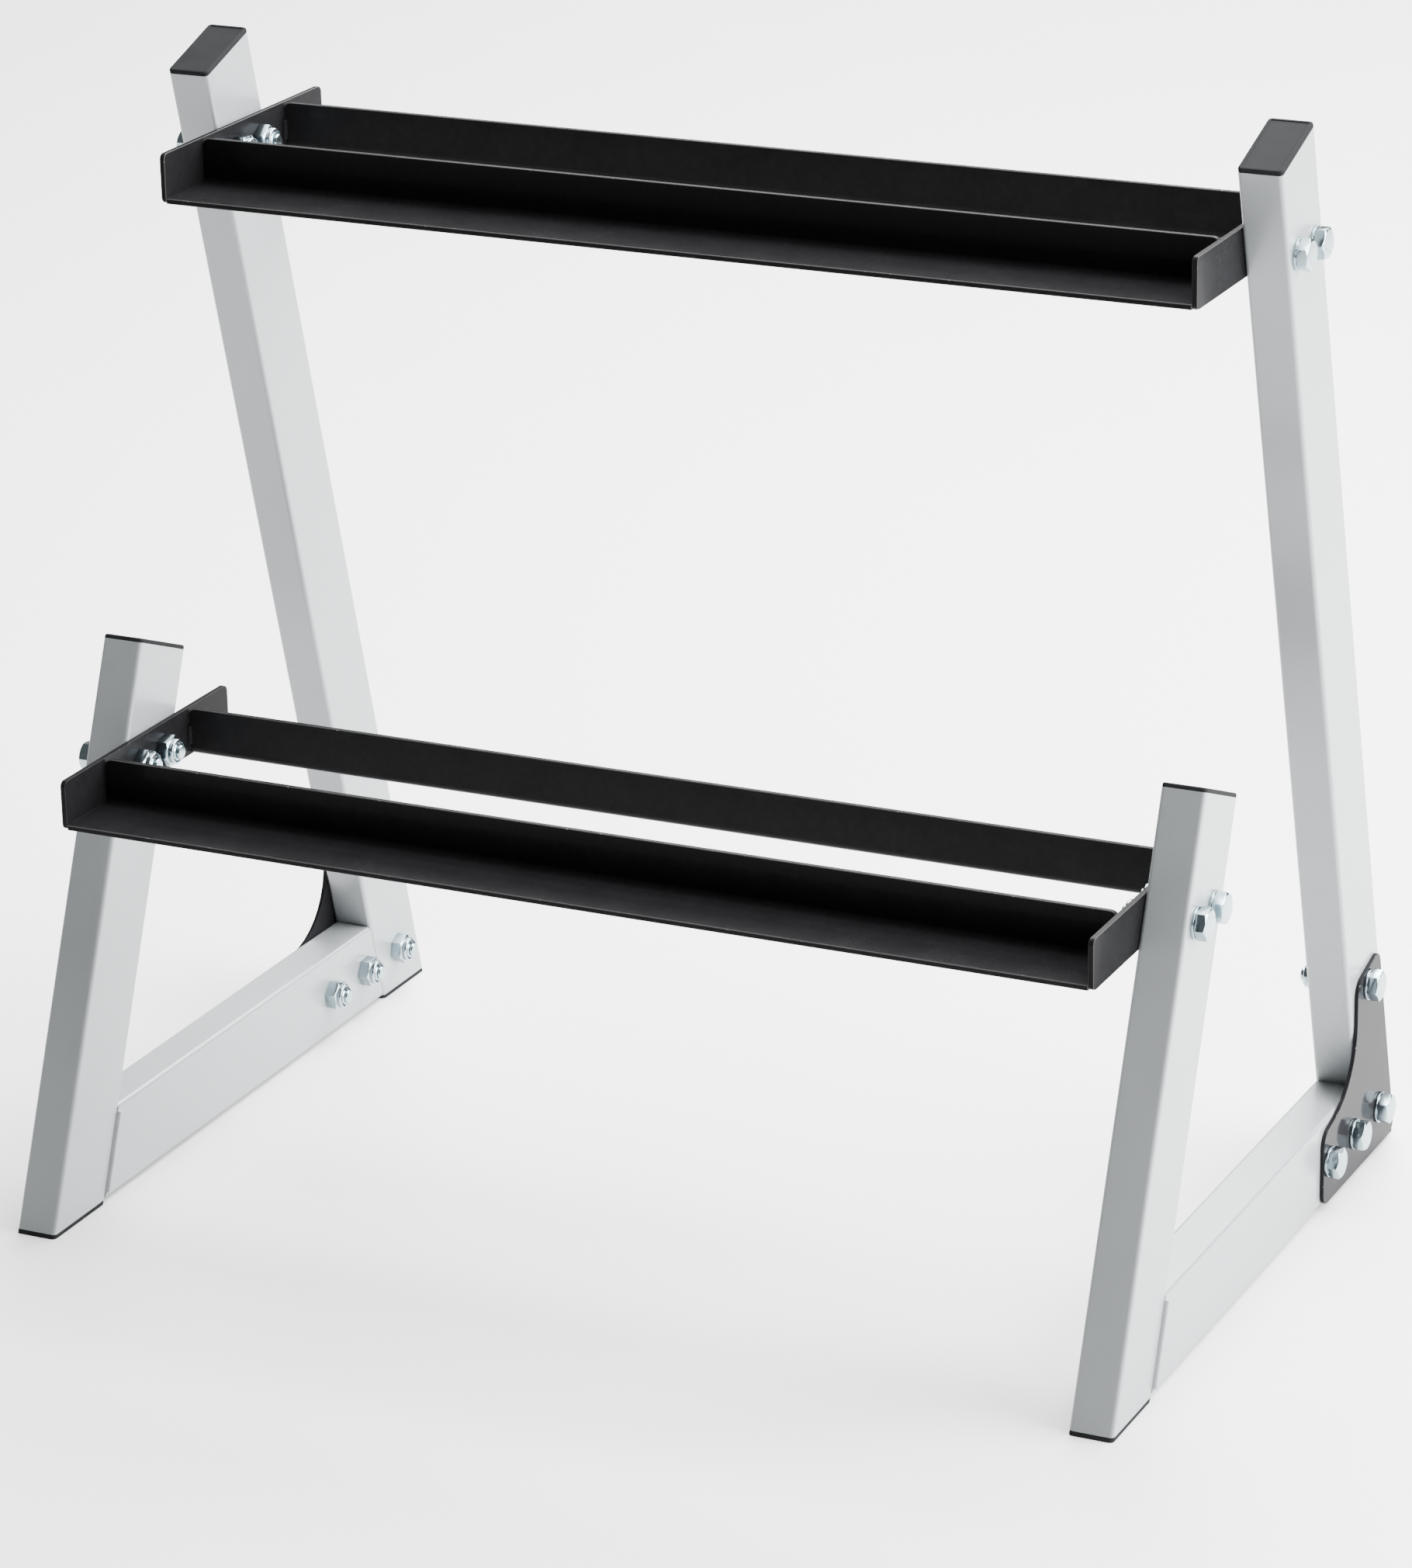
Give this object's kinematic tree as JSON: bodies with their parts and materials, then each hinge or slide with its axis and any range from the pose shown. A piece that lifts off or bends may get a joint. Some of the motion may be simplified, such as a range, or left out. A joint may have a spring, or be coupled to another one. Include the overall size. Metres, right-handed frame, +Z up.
{
  "type": "dumbbell rack",
  "caption": "Free-standing two-tier rack for hex dumbbells: leaning rectangular-tube side frames joined by bolted shelves of bent angle that cradle the heads.",
  "frame": {"origin": "middle of the bounding box on the floor plane, between the four feet", "axes": "+X along the shelves to the right side as seen from the front, +Y to the back, +Z up; the low shelf is at the front (-Y)"},
  "size_m": [0.6906, 0.443, 0.642],
  "materials": {
    "frame_coat": "light silver-grey fine-grained semi-gloss powder coat on steel tube",
    "shelf_coat": "gloss black powder coat on bent steel sheet",
    "gusset_coat": "smooth gloss black coat on steel plate",
    "cap_plastic": "satin dark grey moulded plastic",
    "zinc": "bright blue-white zinc plate on steel"
  },
  "bodies": {
    "root": {"left_front_post": "frame_coat", "right_front_post": "frame_coat", "left_base_rail": "frame_coat", "right_base_rail": "frame_coat", "left_base_weld": "frame_coat", "right_base_weld": "frame_coat", "left_rear_upright": "frame_coat", "right_rear_upright": "frame_coat", "left_gusset": "gusset_coat", "right_gusset": "gusset_coat", "left_post_cap": "cap_plastic", "right_post_cap": "cap_plastic", "left_upright_cap": "cap_plastic", "right_upright_cap": "cap_plastic", "left_post_foot": "cap_plastic", "right_post_foot": "cap_plastic", "left_upright_foot": "cap_plastic", "right_upright_foot": "cap_plastic", "lower_front_rail": "shelf_coat", "lower_rear_rail": "shelf_coat", "lower_left_end_plate": "shelf_coat", "lower_right_end_plate": "shelf_coat", "lower_shelf_welds": "shelf_coat", "upper_front_rail": "shelf_coat", "upper_rear_rail": "shelf_coat", "upper_left_end_plate": "shelf_coat", "upper_right_end_plate": "shelf_coat", "upper_shelf_welds": "shelf_coat", "left_gusset_bolts": "zinc", "left_gusset_washers": "zinc", "left_gusset_nuts": "zinc", "right_gusset_bolts": "zinc", "right_gusset_washers": "zinc", "right_gusset_nuts": "zinc", "left_lower_shelf_bolts": "zinc", "left_lower_shelf_washers": "zinc", "left_lower_shelf_nuts": "zinc", "right_lower_shelf_bolts": "zinc", "right_lower_shelf_washers": "zinc", "right_lower_shelf_nuts": "zinc", "left_upper_shelf_bolts": "zinc", "left_upper_shelf_washers": "zinc", "left_upper_shelf_nuts": "zinc", "right_upper_shelf_bolts": "zinc", "right_upper_shelf_washers": "zinc", "right_upper_shelf_nuts": "zinc"}
  },
  "joints": []
}
